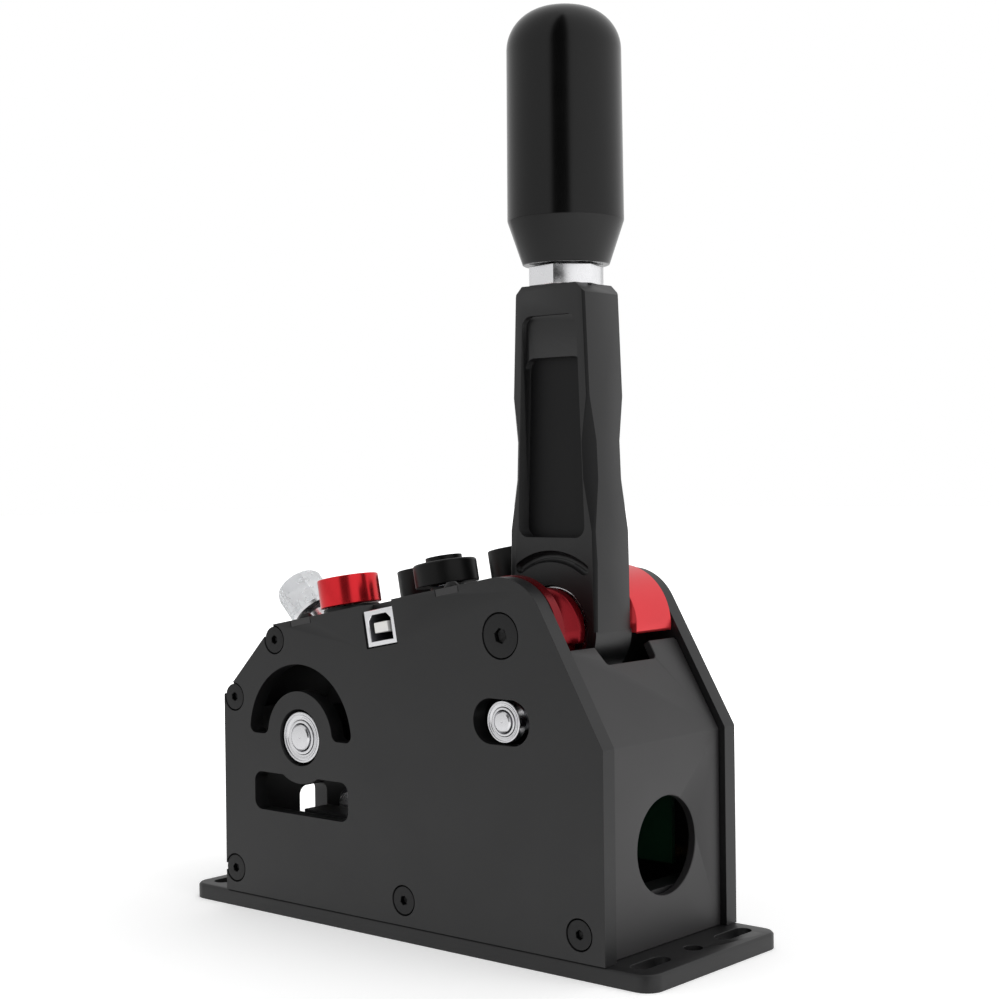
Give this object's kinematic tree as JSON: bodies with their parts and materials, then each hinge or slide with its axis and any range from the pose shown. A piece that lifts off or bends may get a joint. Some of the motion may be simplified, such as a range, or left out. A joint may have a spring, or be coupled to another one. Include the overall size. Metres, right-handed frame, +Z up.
{
  "type": "gear shifter",
  "caption": "Desk-mounted sequential gear shifter for a driving rig: a self-centring lever on a pivot between two plates, with linkage, knobs and data socket.",
  "frame": {"origin": "middle of the base plate's underside, in its length and width", "axes": "+Z up, +X to the front panel with the round cable hole, -Y to the side plate with the data socket"},
  "size_m": [0.186, 0.0638, 0.274],
  "materials": {
    "black_anodised": "satin black anodised",
    "black_sheet": "matte black",
    "black_screws": "black oxide",
    "bare_aluminium": "machined",
    "bright_steel": "ground",
    "bearing_steel": "polished",
    "link_steel": "black oxide",
    "red_anodised": "red anodised",
    "circuit_board": "solder mask",
    "brass_pillars": "turned",
    "black_plastic": "moulded",
    "plated_shell": "plated",
    "white_plastic": "moulded",
    "spring_steel": "black spring wire",
    "sensor_cans": "moulded",
    "bright_nut": "plated",
    "black_grip": "smooth matte",
    "magnet": "nickel plated",
    "brass_nut": "machined",
    "black_knob": "anodised",
    "clear_knob": "clear, polished"
  },
  "bodies": {
    "housing": {"base_blocks": "bare_aluminium", "base_plate": "black_anodised", "base_screws": "black_screws", "bevel_plate": "black_anodised", "board_chips": "black_plastic", "board_pillars": "brass_pillars", "control_board": "circuit_board", "cover_screws": "black_screws", "dial_nuts": "black_screws", "dial_sensors": "sensor_cans", "far_side_plate": "black_anodised", "far_spacer": "red_anodised", "force_bush": "black_anodised", "front_panel": "black_sheet", "index_bush": "black_anodised", "lever_bearing_cores": "bearing_steel", "lower_spring": "spring_steel", "pivot_screws": "black_screws", "pivot_shaft": "bright_steel", "port_board": "circuit_board", "port_side_plate": "black_anodised", "port_spacer": "red_anodised", "rear_bearing_shells": "bearing_steel", "rear_plate": "black_anodised", "sensor_board": "circuit_board", "side_screws": "black_screws", "socket_shell": "plated_shell", "socket_tongue": "white_plastic", "spring_bracket": "bare_aluminium", "top_cover": "black_sheet", "upper_spring": "spring_steel"},
    "lever": {"lever_arm": "black_anodised", "lever_bearing_shells": "bearing_steel", "crosspin": "bright_steel", "crosspin_sleeves": "bare_aluminium", "roller_cores": "bearing_steel", "collar_nut": "bright_nut", "grip_stud": "bright_steel", "grip": "black_grip"},
    "port_wheel": {"port_roller": "bearing_steel"},
    "far_wheel": {"far_roller": "bearing_steel"},
    "links": {"link_plates": "link_steel"},
    "rocker": {"rocker": "black_anodised", "rocker_pin": "bright_steel", "rear_shaft": "bright_steel", "shaft_sleeves": "bare_aluminium", "magnet_ring": "magnet", "rear_bearing_cores": "bearing_steel"},
    "force_adjuster": {"force_knob": "red_anodised", "force_screw": "bright_steel"},
    "preload_nut": {"preload_nut": "brass_nut"},
    "travel_dial": {"travel_dial": "black_knob", "travel_dial_cap": "black_knob", "travel_dial_shaft": "bright_steel"},
    "rear_trim": {"rear_trim_knob": "black_knob", "rear_trim_shaft": "bright_steel"},
    "front_trim": {"front_trim_knob": "black_knob", "front_trim_shaft": "bright_steel"},
    "index_plunger": {"index_knob": "clear_knob", "index_pin": "bright_nut"}
  },
  "joints": [
    {"name": "lever_tilt", "type": "hinge", "parent": "housing", "child": "lever", "pos_m": [0.04195, 0, 0.09234], "axis": [0, 1, 0], "range_deg": [-10, 10], "stiffness_Nm_per_rad": 24},
    {"name": "link_swing", "type": "hinge", "parent": "lever", "child": "links", "pos_m": [0.04195, 0, 0.06804], "axis": [0, 1, 0], "range_deg": [-10, 10]},
    {"name": "rocker_swing", "type": "hinge", "parent": "housing", "child": "rocker", "pos_m": [-0.04068, 0, 0.05674], "axis": [0, 1, 0], "range_deg": [-10, 10], "deforming": ["upper_spring", "lower_spring"]},
    {"name": "port_wheel_spin", "type": "hinge", "parent": "lever", "child": "port_wheel", "pos_m": [0.04195, 0, 0.06804], "axis": [0, 1, 0], "continuous": true},
    {"name": "far_wheel_spin", "type": "hinge", "parent": "lever", "child": "far_wheel", "pos_m": [0.04195, 0, 0.06804], "axis": [0, 1, 0], "continuous": true},
    {"name": "force_knob_turn", "type": "hinge", "parent": "housing", "child": "force_adjuster", "pos_m": [-0.03132, -0.0174, 0.09541], "axis": [-0.184, 0, 0.9829], "range_deg": [0, 1080]},
    {"name": "preload_nut_slide", "type": "slide", "parent": "housing", "child": "preload_nut", "axis": [0.184, 0, -0.9829], "range_m": [0, 0.0031]},
    {"name": "travel_dial_turn", "type": "hinge", "parent": "housing", "child": "travel_dial", "pos_m": [0.00957, -0.0174, 0.10307], "axis": [-0.184, 0, 0.9829], "range_deg": [-150, 150]},
    {"name": "rear_trim_turn", "type": "hinge", "parent": "housing", "child": "rear_trim", "pos_m": [-0.02984, 0.0174, 0.09569], "axis": [-0.184, 0, 0.9829], "range_deg": [-150, 150]},
    {"name": "front_trim_turn", "type": "hinge", "parent": "housing", "child": "front_trim", "pos_m": [0.00957, 0.0174, 0.10307], "axis": [-0.184, 0, 0.9829], "range_deg": [-150, 150]},
    {"name": "index_pull", "type": "slide", "parent": "housing", "child": "index_plunger", "axis": [-0.7071, 0, 0.7071], "range_m": [0, 0.005], "stiffness_N_per_m": 600, "springref_m": -0.002}
  ],
  "couplings": [
    {"joint": "link_swing", "follows": "lever_tilt", "ratio": -1},
    {"joint": "rocker_swing", "follows": "lever_tilt", "ratio": 1},
    {"joint": "preload_nut_slide", "follows": "force_knob_turn", "m_per_rad": 0.00015915}
  ]
}
